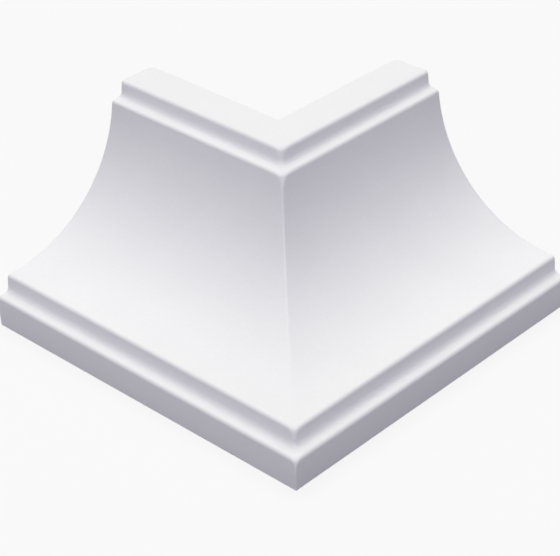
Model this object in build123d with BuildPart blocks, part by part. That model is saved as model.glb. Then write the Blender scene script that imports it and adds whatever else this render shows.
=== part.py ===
from build123d import *
from math import isclose
import os

# Outside corner of a cove cornice, moulded in one piece: two equal wings that meet in a mitre.
# Millimetres, +Z up. The line x = 0, y = 0 is the outside corner of the wall, which fills the
# quarter x > 0, y > 0. Each wing runs one wing_length along its wall. A section is drawn by its
# depth, the distance out from the wall, and its height above the wide face that the part stands on.

# Driving dimensions of the section, from the wide face up and from the wall out
base_lip_height = 15.0
lower_step_height = 8.4
cove_rise = 59.3
top_lip_height = 7.5
top_lip_depth = 19.1
upper_ledge_width = 6.4
cove_run = 65.3
cove_flat_width = 2.7
lower_ledge_width = 6.5

# Length of wall that each wing covers, from the corner to its square cut
wing_length = 78.5

# The sloping relief at the back leaves a flat land against the wall and another under the base
wall_land = 32.2
base_land = 42.0

# Rounding that the mould gives the edges
base_corner_radius = 1.5
mitre_radius = 1.8
top_corner_radius = 3.0
back_corner_radius = 3.5
ledge_hollow_radius = 2.0
long_edge_radius = 1.3
cut_edge_radius = 1.2

# Heights and depths that follow
lower_step_top = base_lip_height + lower_step_height
upper_ledge_top = lower_step_top + cove_rise
height = upper_ledge_top + top_lip_height
cove_top_depth = top_lip_depth + upper_ledge_width
cove_foot_depth = cove_top_depth + cove_run
cove_bottom_depth = cove_foot_depth + cove_flat_width
projection = cove_bottom_depth + lower_ledge_width
relief_height = height - wall_land
relief_depth = projection - base_land

# Two lengths that differ by less than this are the same place on the part
same_place = 0.001

# The section's plane at the cut end of one wing: x is depth, y is height
cut_plane = Plane(origin=(wing_length, 0, 0), x_dir=(0, -1, 0), z_dir=(-1, 0, 0))


def depth_of(edge):
    """How far the middle of an edge stands out from the wall's two faces."""
    middle = edge @ 0.5
    return max(-middle.X, -middle.Y)


def on_mitre(edge):
    """Whether an edge lies on the mitre, on the side of the wall's corner that is seen."""
    middle = edge @ 0.5
    return isclose(middle.X, middle.Y, abs_tol=same_place) and middle.X < -same_place


def on_cut_end(edge):
    """Whether an edge lies in the square cut at the end of either wing."""
    middle = edge @ 0.5
    return isclose(max(middle.X, middle.Y), wing_length, abs_tol=same_place)


def on_wall(edge):
    """Whether an edge lies against one of the wall's faces."""
    return isclose(depth_of(edge), 0, abs_tol=same_place)


def edges_round(depth, level, corner_radius):
    """The run of edges along both wings at one depth and level, with the rounded corner between."""
    corner_cut = corner_radius * (1 - 0.5**0.5)
    return (
        corner_moulding.edges()
        .filter_by_position(Axis.Z, level - same_place, level + same_place)
        .filter_by(lambda edge: depth - corner_cut - same_place < depth_of(edge) < depth + same_place)
    )


with BuildPart() as corner_moulding:
    # The section, carried along one wall, round the corner and along the other
    with BuildSketch(cut_plane):
        with BuildLine():
            cove = TangentArc(
                (cove_foot_depth, lower_step_top), (cove_top_depth, upper_ledge_top), tangent=(-1, 0)
            )
            Polyline(
                cove @ 1,
                (top_lip_depth, upper_ledge_top),
                (top_lip_depth, height),
                (0, height),
                (0, relief_height),
                (relief_depth, 0),
                (projection, 0),
                (projection, base_lip_height),
                (cove_bottom_depth, base_lip_height),
                (cove_bottom_depth, lower_step_top),
                cove @ 0,
            )
        make_face()
    with BuildLine() as wall_line:
        Polyline((wing_length, 0, 0), (0, 0, 0), (0, wing_length, 0))
    sweep(path=wall_line.line, transition=Transition.RIGHT)

    # Corners of the mitre: the three upright ones from the base lip up, and the curved one of the cove
    mitre_edges = corner_moulding.edges().filter_by(on_mitre)
    base_corner, lower_step_corner, top_corner = mitre_edges.filter_by(Axis.Z).sort_by(Axis.Z)
    cove_corner = mitre_edges.filter_by(GeomType.ELLIPSE).edge()
    fillet(base_corner, base_corner_radius)
    fillet([lower_step_corner, cove_corner], mitre_radius)
    fillet(top_corner, top_corner_radius)

    # Upright edges at the back, where the cut ends meet the wall
    back_corners = corner_moulding.edges().filter_by(Axis.Z).filter_by(on_cut_end).filter_by(on_wall)
    fillet(back_corners, back_corner_radius)

    # Hollow edges, where each ledge meets the step above it
    fillet(edges_round(cove_bottom_depth, base_lip_height, mitre_radius), ledge_hollow_radius)
    fillet(edges_round(top_lip_depth, upper_ledge_top, top_corner_radius), ledge_hollow_radius)

    # Long outer edges, from the base lip up
    fillet(edges_round(projection, base_lip_height, base_corner_radius), long_edge_radius)
    fillet(edges_round(cove_bottom_depth, lower_step_top, mitre_radius), long_edge_radius)
    fillet(edges_round(cove_top_depth, upper_ledge_top, mitre_radius), long_edge_radius)
    fillet(edges_round(top_lip_depth, height, top_corner_radius), long_edge_radius)

    # Outline of the cut ends: from each cove's end, this rounding runs on along every smooth edge,
    # down to the underside and up round the back of the top lip
    cut_arcs = corner_moulding.edges().filter_by(on_cut_end).filter_by(GeomType.CIRCLE)
    cove_ends = cut_arcs.sort_by(SortBy.RADIUS)[-2:]
    fillet(cove_ends, cut_edge_radius)

corner_moulding.part.label = "corner_moulding"

os.makedirs("parts", exist_ok=True)
export_step(corner_moulding.part, "parts/corner_moulding.step")
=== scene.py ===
import math

import bmesh
import bpy
import numpy as np
from mathutils import Matrix, Vector, noise


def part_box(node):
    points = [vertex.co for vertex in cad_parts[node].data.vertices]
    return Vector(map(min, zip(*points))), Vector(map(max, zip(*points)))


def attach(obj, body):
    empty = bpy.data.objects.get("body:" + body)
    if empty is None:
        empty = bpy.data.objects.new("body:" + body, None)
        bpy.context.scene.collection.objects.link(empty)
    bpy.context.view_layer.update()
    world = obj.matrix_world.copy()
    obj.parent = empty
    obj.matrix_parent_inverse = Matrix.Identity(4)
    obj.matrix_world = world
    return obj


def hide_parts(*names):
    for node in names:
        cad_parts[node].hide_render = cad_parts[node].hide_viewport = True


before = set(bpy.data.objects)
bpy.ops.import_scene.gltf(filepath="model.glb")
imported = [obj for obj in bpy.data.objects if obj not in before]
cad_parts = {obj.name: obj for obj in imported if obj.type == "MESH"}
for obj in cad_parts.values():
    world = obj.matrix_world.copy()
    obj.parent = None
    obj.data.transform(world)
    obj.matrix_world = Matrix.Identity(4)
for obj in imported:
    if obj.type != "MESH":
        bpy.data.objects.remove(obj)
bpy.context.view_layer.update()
node_low, node_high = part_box("corner_moulding")

# Sizes are in metres, in the part's frame: the wall's outside corner is the line x = 0, y = 0,
# and the wings run along the walls to +X and +Y. A section is given by its depth, the distance
# out from the wall, and its height above the floor.
MM = 0.001
UP = Vector((0, 0, 1))

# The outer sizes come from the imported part
WING_LENGTH = node_high.x
PROJECTION = -node_low.x
HEIGHT = node_high.z

# The section between them. Along the sloping relief at the back, depth and height add up to
# RELIEF_SUM.
BASE_LIP_HEIGHT = 15.0 * MM
LOWER_STEP_TOP = 23.4 * MM
UPPER_LEDGE = 82.7 * MM
TOP_LIP_DEPTH = 19.1 * MM
COVE_TOP_DEPTH = 25.5 * MM
COVE_FOOT_DEPTH = 90.8 * MM
LOWER_STEP_DEPTH = 93.5 * MM
RELIEF_SUM = 58.0 * MM

# The cove is one arc, which ends level at its foot
COVE_DROP = UPPER_LEDGE - LOWER_STEP_TOP
COVE_RUN = COVE_FOOT_DEPTH - COVE_TOP_DEPTH
COVE_RADIUS = (COVE_RUN**2 + COVE_DROP**2) / (2 * COVE_DROP)
COVE_CENTRE = Vector((COVE_FOOT_DEPTH, LOWER_STEP_TOP + COVE_RADIUS))

# The faces of the lip and of the step lean back: their feet stand this far out from their tops
TOP_LIP_DRAFT = 0.7 * MM
LOWER_STEP_DRAFT = 0.55 * MM

# The ledges fall outward by this much
LEDGE_FALL = 0.5 * MM

# The upright faces are very slightly crowned: their edges lie this far behind their middles
BASE_CROWN = 0.2 * MM
LIP_CROWN = 0.15 * MM

# Rounding along the section's edges, and the least that is left of it where the faces are inset
LONG_EDGE_RADIUS = 1.7 * MM
HOLLOW_RADIUS = 2.2 * MM
BOTTOM_EDGE_RADIUS = 0.4 * MM
BACK_TOP_RADIUS = 0.5 * MM
RELIEF_EDGE_RADIUS = 0.8 * MM
LEAST_RADIUS = 0.02 * MM

# How far the cove's rounded upper edge reaches down the cove, in radii of that edge
COVE_EDGE_REACH = 0.95

# Rounding where a wing is cut square, and of its upright corner against the wall
CUT_EDGE_RADIUS = 1.5 * MM
BACK_CORNER_RADIUS = 3.5 * MM

# How round the mitre is in plan: for each upright face, heights from its foot to its top and the
# radius at each, in millimetres. The outer vertices are worn softer than the creases below them.
TOP_LIP_CORNER = (
    (82.7, 86.6, 89.0, 90.2),
    (2.4, 2.6, 3.6, 4.6),
)
COVE_CORNER = (
    (23.4, 23.7, 24.5, 60.0, 77.1, 79.1, 80.6, 81.7, 82.7),
    (2.6, 1.5, 0.85, 0.85, 1.0, 1.5, 2.5, 3.4, 4.6),
)
LOWER_STEP_CORNER = (
    (15.0, 18.8, 21.0, 22.4, 23.4),
    (1.5, 1.6, 2.2, 3.2, 4.2),
)
BASE_CORNER = (
    (0.0, 8.6, 10.1, 12.1, 14.0, 15.0),
    (0.3, 0.35, 0.5, 1.1, 2.4, 3.4),
)

# The mould leaves the faces very slightly uneven
UNEVENNESS = 0.07 * MM
UNEVEN_WAVE = 22.0 * MM

# How finely the section is divided
EDGE_STEPS = 5
COVE_STEPS = 48
FACE_STEPS = 8
BASE_FACE_STEPS = 20
LEDGE_STEPS = 4
FLAT_STEPS = 6
RELIEF_STEPS = 16

# How finely a wing is divided along its length, its cut end and the mitre, and how close two
# points are when they become one
WING_STEPS = 46
END_STEPS = 10
MITRE_STEPS = 8
WELD_DISTANCE = 0.001 * MM

# The primer: the two tones between which it drifts, its speckle, its roughness and its gloss
PRIMER_TONES = ((0.862, 0.860, 0.872, 1), (0.898, 0.896, 0.902, 1))
SPECKLE = (0.985, 1.01)
ROUGHNESS = (0.44, 0.58)
SPECULAR_LEVEL = 0.22

# The noise behind each: its scale per metre, its detail and its roughness, and the range of its
# values that is used
DRIFT_NOISE = (38.0, 3.0, 0.5)
SPECKLE_NOISE = (900.0, 2.0, 0.6)
SPECKLE_RANGE = (0.3, 0.7)
PEEL_NOISE = (520.0, 2.0, 0.45)
PEEL_RANGE = (0.25, 0.75)
GRAIN_NOISE = (2600.0, 3.0, 0.6)

# The relief of the orange peel and of the grain: its strength and its depth
PEEL_BUMP = (0.35, 0.05 * MM)
GRAIN_BUMP = (0.25, 0.02 * MM)

# Sockets of a Mix node that mixes colours, which share their names with its other sockets
MIX_SHARE = 0
MIX_FIRST = 6
MIX_SECOND = 7
MIX_RESULT = 2

# The floor: half its width, how much it glows for the camera, its tone there, which takes the
# part's shadow, and its tone for the light that it throws back on the part
FLOOR_HALF = 6.0
FLOOR_GLOW = 0.85
FLOOR_TONE = 0.1
FLOOR_BOUNCE = 0.21

# What the camera sees beyond the floor
BACKGROUND = 0.947

# The light is a soft tent, whose strength grows with the square of the height, and four broad soft
# lights in it: azimuth and elevation of each, how narrow it is, and its colour times its strength
TENT_COLOUR = (0.52, 0.52, 0.52)
TENT_NARROWNESS = 2.0
SOFT_LIGHTS = (
    (225.5, 12.0, 10.0, (2.25, 2.15, 2.74)),
    (158.4, 45.0, 5.0, (0.42, 0.424, 0.403)),
    (43.4, 70.0, 12.0, (3.93, 3.95, 3.72)),
    (43.4, 10.0, 6.0, (0.55, 0.55, 0.70)),
)

# The photograph's width and its camera, in the part's frame
IMAGE_WIDTH = 560
FOCAL_PIXELS = 1978.4
SENSOR_WIDTH = 36.0
CAMERA_PLACE = Vector((-0.5465, -0.5154, 0.4878))
HEADING = math.radians(43.38)
DOWN_TILT = math.radians(32.48)
ROLL = math.radians(1.10)


def make_camera():
    data = bpy.data.cameras.new("camera")
    data.sensor_width = SENSOR_WIDTH
    data.lens = FOCAL_PIXELS / IMAGE_WIDTH * SENSOR_WIDTH
    camera = bpy.data.objects.new("camera", data)
    bpy.context.scene.collection.objects.link(camera)
    forward = Vector(
        (
            math.cos(HEADING) * math.cos(DOWN_TILT),
            math.sin(HEADING) * math.cos(DOWN_TILT),
            -math.sin(DOWN_TILT),
        )
    )
    level_right = forward.cross(UP).normalized()
    level_down = forward.cross(level_right)
    right = math.cos(ROLL) * level_right + math.sin(ROLL) * level_down
    down = math.cos(ROLL) * level_down - math.sin(ROLL) * level_right
    turn = Matrix((right, -down, -forward)).transposed()
    camera.matrix_world = Matrix.Translation(CAMERA_PLACE) @ turn.to_4x4()
    bpy.context.scene.camera = camera


# The section of the moulding

def rounded(before, corner, after, radius):
    """Points of the arc that rounds a corner between two straight runs."""
    to_before = (before - corner).normalized()
    to_after = (after - corner).normalized()
    half = math.acos(max(-1.0, min(1.0, to_before.dot(to_after)))) / 2
    reach = radius / math.tan(half)
    middle = corner + (to_before + to_after).normalized() * (radius / math.sin(half))
    start = corner + to_before * reach - middle
    end = corner + to_after * reach - middle
    sweep = start.angle_signed(end)
    points = []
    for step in range(EDGE_STEPS + 1):
        turn = Matrix.Rotation(-sweep * step / EDGE_STEPS, 2)
        points.append(middle + turn @ start)
    return points


def between(start, end, steps):
    """Points between two ends, without the ends."""
    return [start.lerp(end, step / steps) for step in range(1, steps)]


def crowned(points, foot, top, crown):
    """Points of an upright face, set back toward its foot and its top."""
    middle = (foot + top) / 2
    half = (top - foot) / 2
    return [
        Vector((point.x - crown * ((point.y - middle) / half) ** 2, point.y)) for point in points
    ]


def foot_radius(corner):
    """The mitre's radius at the foot of an upright face."""
    return corner[1][0] * MM


def top_radius(corner):
    """The mitre's radius at the top of an upright face."""
    return corner[1][-1] * MM


def section(inset, back_inset):
    """Rows of the section as (depth, height, mitre radius), from the top of the wall face over the
    front and under the back to it again. All faces are inset, the wall face by back_inset, and the
    number of rows is always the same."""
    slope_sum = RELIEF_SUM + math.sqrt(2) * inset
    cove_radius = COVE_RADIUS + inset
    ledge = UPPER_LEDGE - inset
    base_top = BASE_LIP_HEIGHT - inset
    across = math.sqrt(cove_radius**2 - (COVE_CENTRE.y - ledge) ** 2)
    wall_top = Vector((back_inset, HEIGHT - inset))
    lip_edge = Vector((TOP_LIP_DEPTH - inset, HEIGHT - inset))
    lip_foot = Vector((TOP_LIP_DEPTH + TOP_LIP_DRAFT - inset, ledge + LEDGE_FALL))
    cove_top = Vector((COVE_CENTRE.x - across, ledge))
    cove_foot = Vector((COVE_FOOT_DEPTH, LOWER_STEP_TOP - inset))
    step_edge = Vector((LOWER_STEP_DEPTH - inset, LOWER_STEP_TOP - inset))
    step_foot = Vector((LOWER_STEP_DEPTH + LOWER_STEP_DRAFT - inset, base_top + LEDGE_FALL))
    base_edge = Vector((PROJECTION - inset, base_top))
    base_foot = Vector((PROJECTION - inset, inset))
    relief_foot = Vector((slope_sum - inset, inset))
    relief_top = Vector((back_inset, slope_sum - back_inset))

    def outer(radius):
        return max(radius - inset, LEAST_RADIUS)

    edge = outer(LONG_EDGE_RADIUS)
    hollow = HOLLOW_RADIUS + inset
    relief_edge = outer(RELIEF_EDGE_RADIUS)
    start_angle = math.atan2(cove_top.y - COVE_CENTRE.y, cove_top.x - COVE_CENTRE.x) % math.tau
    end_angle = 1.5 * math.pi
    first = start_angle + COVE_EDGE_REACH * edge / cove_radius
    cove = []
    for step in range(1, COVE_STEPS + 1):
        angle = first + (end_angle - first) * step / COVE_STEPS
        cove.append(COVE_CENTRE + cove_radius * Vector((math.cos(angle), math.sin(angle))))
    below_top = cove_top + Vector((-math.sin(start_angle), math.cos(start_angle)))

    wall_arc = rounded(relief_top, wall_top, lip_edge, outer(BACK_TOP_RADIUS))
    lip_arc = rounded(wall_top, lip_edge, lip_foot, edge)
    lip_hollow = rounded(lip_edge, lip_foot, cove_top, hollow)
    cove_arc = rounded(lip_foot, cove_top, below_top, edge)
    step_arc = rounded(cove_foot, step_edge, step_foot, edge)
    step_hollow = rounded(step_edge, step_foot, base_edge, hollow)
    base_arc = rounded(step_foot, base_edge, base_foot, edge)
    bottom_arc = rounded(base_edge, base_foot, relief_foot, outer(BOTTOM_EDGE_RADIUS))
    relief_foot_arc = rounded(base_foot, relief_foot, relief_top, relief_edge)
    relief_top_arc = rounded(relief_foot, relief_top, wall_top, relief_edge)
    rows = []

    def level(points, radius_from, radius_to):
        """Rows whose mitre radius runs evenly from one value to another."""
        for index, point in enumerate(points):
            share = index / max(len(points) - 1, 1)
            rows.append((point.x, point.y, radius_from + (radius_to - radius_from) * share))

    def upright(points, corner):
        """Rows whose mitre radius depends on their height."""
        heights, radii = corner
        for point in points:
            radius = float(np.interp(point.y / MM, heights, radii)) * MM
            rows.append((point.x, point.y, radius))

    def face(top_arc, foot_arc, steps, foot, top, crown, corner):
        """Rows of a crowned upright face, with the arcs at its top and its foot."""
        points = top_arc + between(top_arc[-1], foot_arc[0], steps) + foot_arc
        upright(crowned(points, foot, top, crown), corner)

    # The top
    level(wall_arc, 0.0, 0.0)
    level(between(wall_arc[-1], lip_arc[0], FACE_STEPS), 0.0, top_radius(TOP_LIP_CORNER))

    # The lip and its ledge
    face(lip_arc, lip_hollow, FACE_STEPS, UPPER_LEDGE, HEIGHT, LIP_CROWN, TOP_LIP_CORNER)
    ledge_points = between(lip_hollow[-1], cove_arc[0], LEDGE_STEPS)
    level(ledge_points, foot_radius(TOP_LIP_CORNER), top_radius(COVE_CORNER))

    # The cove and the flat below it
    upright(cove_arc + cove, COVE_CORNER)
    flat_points = between(cove[-1], step_arc[0], FLAT_STEPS)
    level(flat_points, foot_radius(COVE_CORNER), top_radius(LOWER_STEP_CORNER))

    # The step and its ledge
    face(
        step_arc, step_hollow, FACE_STEPS, BASE_LIP_HEIGHT, LOWER_STEP_TOP, LIP_CROWN,
        LOWER_STEP_CORNER,
    )
    ledge_points = between(step_hollow[-1], base_arc[0], LEDGE_STEPS)
    level(ledge_points, foot_radius(LOWER_STEP_CORNER), top_radius(BASE_CORNER))

    # The base lip, the underside, the relief and the wall face
    face(base_arc, bottom_arc, BASE_FACE_STEPS, 0.0, BASE_LIP_HEIGHT, BASE_CROWN, BASE_CORNER)
    underside_points = between(bottom_arc[-1], relief_foot_arc[0], FACE_STEPS)
    level(underside_points, foot_radius(BASE_CORNER), 0.0)
    level(relief_foot_arc, 0.0, 0.0)
    level(between(relief_foot_arc[-1], relief_top_arc[0], RELIEF_STEPS), 0.0, 0.0)
    level(relief_top_arc, 0.0, 0.0)
    level(between(relief_top_arc[-1], wall_arc[0], FACE_STEPS), 0.0, 0.0)
    return rows


# The moulding

def wing_columns():
    """The piece's columns for the wing along +X, from its cut end to the last before the mitre,
    each a list of (x, y, z)."""
    columns = []
    for step in range(END_STEPS + 1):
        turn = math.pi / 2 * (1 - step / END_STEPS)
        from_end = BACK_CORNER_RADIUS * (1 - math.sin(turn))
        back_inset = BACK_CORNER_RADIUS * (1 - math.cos(turn))
        spare = max(CUT_EDGE_RADIUS - from_end, 0.0)
        inset = CUT_EDGE_RADIUS - math.sqrt(CUT_EDGE_RADIUS**2 - spare**2)
        x = WING_LENGTH - from_end
        columns.append([(x, -depth, height) for depth, height, _ in section(inset, back_inset)])
    rows = section(0.0, 0.0)
    start = WING_LENGTH - BACK_CORNER_RADIUS
    for step in range(1, WING_STEPS):
        share = step / WING_STEPS
        column = []
        for depth, height, radius in rows:
            column.append((start + (radius - depth - start) * share, -depth, height))
        columns.append(column)
    return columns


def mitre_columns():
    """The columns that turn the section round the mitre, from one wing to the other."""
    rows = section(0.0, 0.0)
    columns = []
    for step in range(MITRE_STEPS + 1):
        angle = math.pi / 2 * step / MITRE_STEPS
        column = []
        for depth, height, radius in rows:
            x = radius - depth - radius * math.sin(angle)
            y = radius - depth - radius * math.cos(angle)
            column.append((x, y, height))
        columns.append(column)
    return columns


def make_uneven(mesh):
    """Sinks the faces a little in slow waves. The cut ends and the foot stay true."""
    for vert in mesh.verts:
        at_end = max(vert.co.x, vert.co.y) > WING_LENGTH - CUT_EDGE_RADIUS
        if at_end or vert.co.z < BOTTOM_EDGE_RADIUS:
            continue
        share = 0.5 + 0.5 * noise.noise(vert.co / UNEVEN_WAVE)
        vert.co -= vert.normal * UNEVENNESS * share


def make_moulding():
    first = wing_columns()
    second = [[(y, x, z) for x, y, z in column] for column in reversed(first)]
    columns = first + mitre_columns() + second
    mesh = bmesh.new()
    grid = [[mesh.verts.new(place) for place in column] for column in columns]
    count = len(grid[0])
    for left, right in zip(grid, grid[1:]):
        for row in range(count):
            after = (row + 1) % count
            mesh.faces.new((left[row], right[row], right[after], left[after]))
    mesh.faces.new(grid[0])
    mesh.faces.new(list(reversed(grid[-1])))
    bmesh.ops.remove_doubles(mesh, verts=mesh.verts, dist=WELD_DISTANCE)
    bmesh.ops.recalc_face_normals(mesh, faces=mesh.faces)
    mesh.normal_update()
    make_uneven(mesh)
    for face in mesh.faces:
        face.smooth = True
    data = bpy.data.meshes.new("moulded_corner")
    mesh.to_mesh(data)
    mesh.free()
    piece = bpy.data.objects.new("moulded_corner", data)
    bpy.context.scene.collection.objects.link(piece)
    normals = piece.modifiers.new("even_normals", "WEIGHTED_NORMAL")
    normals.mode = "FACE_AREA"
    return piece


# Materials and stage

def node_tools(tree):
    """What adds a node with its settings to a tree, and what links two sockets there."""
    def node(kind, **settings):
        made = tree.nodes.new(kind)
        for name, value in settings.items():
            setattr(made, name, value)
        return made

    return node, tree.links.new


def grey(tone):
    return (tone, tone, tone, 1)


def primed_material():
    """White factory primer on a moulded body: near white with a faint drift of tone, a fine
    orange peel and a little grain."""
    material = bpy.data.materials.new("white_primer")
    material.use_nodes = True
    tree = material.node_tree
    node, link = node_tools(tree)
    shader = tree.nodes["Principled BSDF"]
    shader.inputs["Specular IOR Level"].default_value = SPECULAR_LEVEL
    place = node("ShaderNodeTexCoord")

    def noise_at(scale, detail, rough):
        made = node("ShaderNodeTexNoise")
        made.inputs["Scale"].default_value = scale
        made.inputs["Detail"].default_value = detail
        made.inputs["Roughness"].default_value = rough
        link(place.outputs["Object"], made.inputs["Vector"])
        return made.outputs["Fac"]

    def spread(source, source_range, result_range):
        """A value that runs over its own range while the source runs over another."""
        made = node("ShaderNodeMapRange")
        made.inputs["From Min"].default_value = source_range[0]
        made.inputs["From Max"].default_value = source_range[1]
        made.inputs["To Min"].default_value = result_range[0]
        made.inputs["To Max"].default_value = result_range[1]
        link(source, made.inputs["Value"])
        return made.outputs["Result"]

    def bump(source, strength, distance):
        made = node("ShaderNodeBump")
        made.inputs["Strength"].default_value = strength
        made.inputs["Distance"].default_value = distance
        link(source, made.inputs["Height"])
        return made

    tone = node("ShaderNodeMix", data_type="RGBA")
    tone.inputs[MIX_FIRST].default_value = PRIMER_TONES[0]
    tone.inputs[MIX_SECOND].default_value = PRIMER_TONES[1]
    link(noise_at(*DRIFT_NOISE), tone.inputs[MIX_SHARE])
    speckled = node("ShaderNodeVectorMath", operation="SCALE")
    link(tone.outputs[MIX_RESULT], speckled.inputs[0])
    link(spread(noise_at(*SPECKLE_NOISE), SPECKLE_RANGE, SPECKLE), speckled.inputs["Scale"])
    link(speckled.outputs["Vector"], shader.inputs["Base Color"])

    peel = noise_at(*PEEL_NOISE)
    link(spread(peel, PEEL_RANGE, ROUGHNESS), shader.inputs["Roughness"])
    peel_bump = bump(peel, *PEEL_BUMP)
    grain_bump = bump(noise_at(*GRAIN_NOISE), *GRAIN_BUMP)
    link(peel_bump.outputs["Normal"], grain_bump.inputs["Normal"])
    link(grain_bump.outputs["Normal"], shader.inputs["Normal"])
    return material


def by_ray(node, link, for_light, for_camera):
    """One shader for light on the part, and another for rays that the camera, a gloss or a glass
    sends."""
    path = node("ShaderNodeLightPath")
    seen = path.outputs["Is Camera Ray"]
    for kind in ("Is Glossy Ray", "Is Transmission Ray"):
        either = node("ShaderNodeMath", operation="MAXIMUM")
        link(seen, either.inputs[0])
        link(path.outputs[kind], either.inputs[1])
        seen = either.outputs[0]
    mix = node("ShaderNodeMixShader")
    link(seen, mix.inputs[0])
    link(for_light.outputs[0], mix.inputs[1])
    link(for_camera.outputs[0], mix.inputs[2])
    return mix.outputs[0]


def make_floor():
    half = FLOOR_HALF
    data = bpy.data.meshes.new("floor")
    corners = [(-half, -half, 0), (half, -half, 0), (half, half, 0), (-half, half, 0)]
    data.from_pydata(corners, [], [(0, 1, 2, 3)])
    floor = bpy.data.objects.new("floor", data)
    bpy.context.scene.collection.objects.link(floor)
    material = bpy.data.materials.new("pale_floor")
    material.use_nodes = True
    tree = material.node_tree
    tree.nodes.clear()
    node, link = node_tools(tree)
    glow = node("ShaderNodeEmission")
    glow.inputs["Strength"].default_value = FLOOR_GLOW
    shaded = node("ShaderNodeBsdfDiffuse")
    shaded.inputs["Color"].default_value = grey(FLOOR_TONE)
    bounce = node("ShaderNodeBsdfDiffuse")
    bounce.inputs["Color"].default_value = grey(FLOOR_BOUNCE)
    pale = node("ShaderNodeAddShader")
    link(glow.outputs[0], pale.inputs[0])
    link(shaded.outputs[0], pale.inputs[1])
    output = node("ShaderNodeOutputMaterial")
    link(by_ray(node, link, bounce, pale), output.inputs["Surface"])
    data.materials.append(material)


def make_light():
    world = bpy.data.worlds.new("light_tent")
    bpy.context.scene.world = world
    world.use_nodes = True
    tree = world.node_tree
    tree.nodes.clear()
    node, link = node_tools(tree)
    place = node("ShaderNodeTexCoord")

    def share(toward, narrowness):
        """How much a light shines from a direction: a power of its cosine to the light's middle."""
        cosine = node("ShaderNodeVectorMath", operation="DOT_PRODUCT")
        cosine.inputs[1].default_value = toward
        link(place.outputs["Generated"], cosine.inputs[0])
        facing = node("ShaderNodeMath", operation="MAXIMUM")
        link(cosine.outputs["Value"], facing.inputs[0])
        facing.inputs[1].default_value = 0.0
        power = node("ShaderNodeMath", operation="POWER")
        link(facing.outputs[0], power.inputs[0])
        power.inputs[1].default_value = narrowness
        return power.outputs[0]

    def times(colour, amount):
        scaled = node("ShaderNodeVectorMath", operation="SCALE")
        scaled.inputs[0].default_value = colour
        link(amount, scaled.inputs["Scale"])
        return scaled.outputs["Vector"]

    total = times(TENT_COLOUR, share(UP, TENT_NARROWNESS))
    for azimuth, elevation, narrowness, colour in SOFT_LIGHTS:
        turn = math.radians(azimuth)
        rise = math.radians(elevation)
        toward = (math.cos(turn) * math.cos(rise), math.sin(turn) * math.cos(rise), math.sin(rise))
        added = node("ShaderNodeVectorMath", operation="ADD")
        link(total, added.inputs[0])
        link(times(colour, share(toward, narrowness)), added.inputs[1])
        total = added.outputs["Vector"]
    light = node("ShaderNodeBackground")
    link(total, light.inputs["Color"])
    backdrop = node("ShaderNodeBackground")
    backdrop.inputs["Color"].default_value = grey(BACKGROUND)
    output = node("ShaderNodeOutputWorld")
    link(by_ray(node, link, light, backdrop), output.inputs["Surface"])


make_camera()
make_floor()
make_light()

moulding = make_moulding()
moulding.data.materials.append(primed_material())
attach(moulding, "root")
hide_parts("corner_moulding")

bpy.context.scene.view_settings.view_transform = "Standard"
